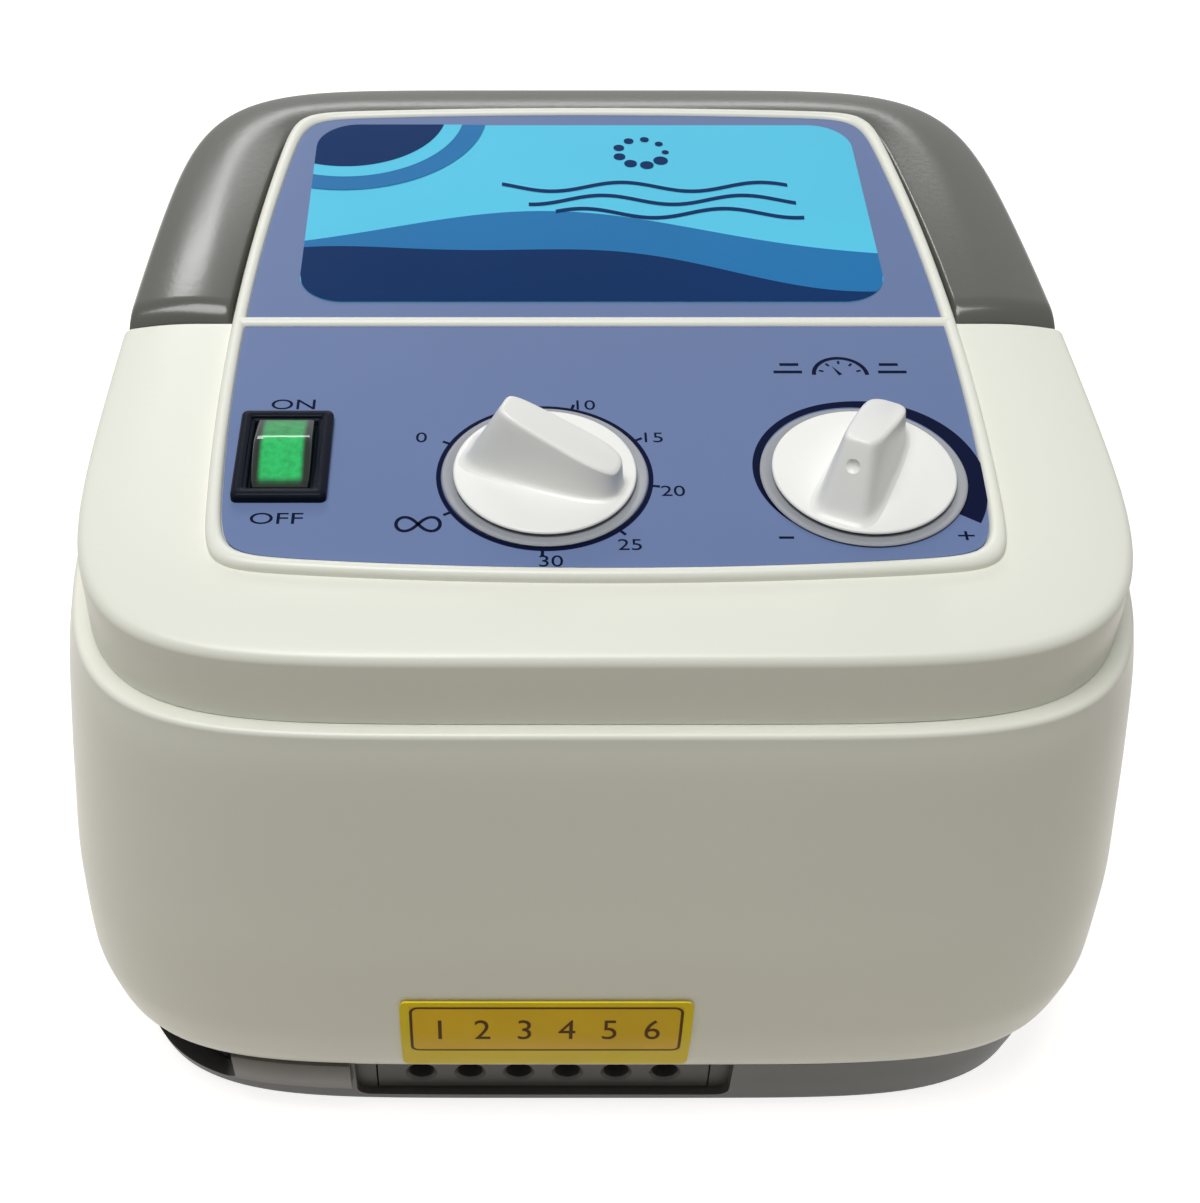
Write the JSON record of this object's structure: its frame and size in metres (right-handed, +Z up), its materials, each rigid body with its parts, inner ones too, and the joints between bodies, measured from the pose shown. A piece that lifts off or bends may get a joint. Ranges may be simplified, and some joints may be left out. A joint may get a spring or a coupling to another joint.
{
  "type": "compression therapy pump",
  "caption": "Bench-top air compression pump with a fold-down carrying handle, rocker switch, timer and pressure knobs and a row of front air outlets",
  "frame": {"origin": "middle of the footprint on the surface it stands on", "axes": "+X to the user's right, +Y to the back, +Z up; the controls and air outlets face -Y"},
  "size_m": [0.1832, 0.1804, 0.1338],
  "materials": {
    "ivory_shell": "satin moulded plastic",
    "tray_grey": "satin moulded plastic",
    "handle_grey": "semi-gloss moulded plastic",
    "steel": "plated",
    "panel_blue": "printed film",
    "display_print": "printed film",
    "switch_black": "moulded plastic",
    "rocker_green": "clear, lit from inside",
    "collar_grey": "satin moulded plastic",
    "knob_white": "satin moulded plastic",
    "inner_white": "moulded plastic",
    "brass": "turned",
    "inner_black": "moulded plastic",
    "label_yellow": "printed film",
    "filter_foam": "open-cell foam",
    "strip_grey": "satin moulded plastic",
    "aluminium": "die-cast",
    "copper": "enamelled wire winding",
    "foot_rubber": "moulded rubber",
    "hose_clear": "soft clear tube"
  },
  "bodies": {
    "case": {"top_cover": "ivory_shell", "lower_shell": "ivory_shell", "base_tray": "tray_grey", "handle_pin_left": "steel", "handle_pin_right": "steel", "regulator_spring": "steel", "pump_core": "steel", "control_overlay": "panel_blue", "display_overlay": "display_print", "switch_body": "switch_black", "mains_inlet": "switch_black", "timer_collar": "collar_grey", "pressure_collar": "collar_grey", "timer_movement": "inner_white", "distributor_housing": "inner_white", "regulator_body": "brass", "inlet_blade_left": "brass", "inlet_blade_right": "brass", "port_block": "inner_black", "pump_head_left": "inner_black", "pump_head_right": "inner_black", "port_label": "label_yellow", "intake_filter": "filter_foam", "front_strip": "strip_grey", "pump_frame": "aluminium", "distributor_motor": "aluminium", "pump_coil": "copper", "pump_diaphragm_left": "foot_rubber", "pump_diaphragm_right": "foot_rubber", "supply_hose": "hose_clear", "regulator_hose": "hose_clear", "outlet_hose_1": "hose_clear", "outlet_hose_2": "hose_clear", "outlet_hose_3": "hose_clear", "outlet_hose_4": "hose_clear", "outlet_hose_5": "hose_clear", "outlet_hose_6": "hose_clear", "foot_front_left": "foot_rubber", "pump_mount_front_left": "foot_rubber", "case_screw_front_left": "steel", "foot_front_right": "foot_rubber", "pump_mount_front_right": "foot_rubber", "case_screw_front_right": "steel", "foot_rear_left": "foot_rubber", "pump_mount_rear_left": "foot_rubber", "case_screw_rear_left": "steel", "foot_rear_right": "foot_rubber", "pump_mount_rear_right": "foot_rubber", "case_screw_rear_right": "steel"},
    "handle": {"carry_handle": "handle_grey"},
    "rocker": {"switch_rocker": "rocker_green"},
    "timer": {"timer_knob": "knob_white", "timer_shaft": "steel"},
    "pressure": {"pressure_knob": "knob_white", "regulator_spindle": "steel", "regulator_plug": "inner_white"},
    "arm_left": {"pump_arm_left": "aluminium"},
    "arm_right": {"pump_arm_right": "aluminium"},
    "rotor": {"distributor_rotor": "inner_white"}
  },
  "joints": [
    {"name": "handle_lift", "type": "hinge", "parent": "case", "child": "handle", "pos_m": [0, 0.0055, 0.11265], "axis": [1, 0, 0], "range_deg": [0, 90]},
    {"name": "rocker_tilt", "type": "hinge", "parent": "case", "child": "rocker", "pos_m": [-0.0509, -0.03925, 0.1201], "axis": [1, 0, 0], "range_deg": [0, 18]},
    {"name": "timer_turn", "type": "hinge", "parent": "case", "child": "timer", "pos_m": [-0.0092, -0.0436, 0.122], "axis": [0, 0, -1], "range_deg": [0, 303]},
    {"name": "pressure_turn", "type": "hinge", "parent": "case", "child": "pressure", "pos_m": [0.0412, -0.0436, 0.122], "axis": [0, 0, -1], "range_deg": [0, 280]},
    {"name": "arm_left_swing", "type": "hinge", "parent": "case", "child": "arm_left", "pos_m": [-0.02, 0.04575, 0.033], "axis": [0, 0, 1], "range_deg": [-1.5, 1.5]},
    {"name": "arm_right_swing", "type": "hinge", "parent": "case", "child": "arm_right", "pos_m": [0.02, 0.04575, 0.033], "axis": [0, 0, 1], "range_deg": [-1.5, 1.5]},
    {"name": "distributor_spin", "type": "hinge", "parent": "case", "child": "rotor", "pos_m": [-0.0085, -0.03125, 0.03], "axis": [0, 0, 1], "continuous": true}
  ],
  "couplings": [
    {"joint": "arm_right_swing", "follows": "arm_left_swing", "ratio": -1}
  ]
}
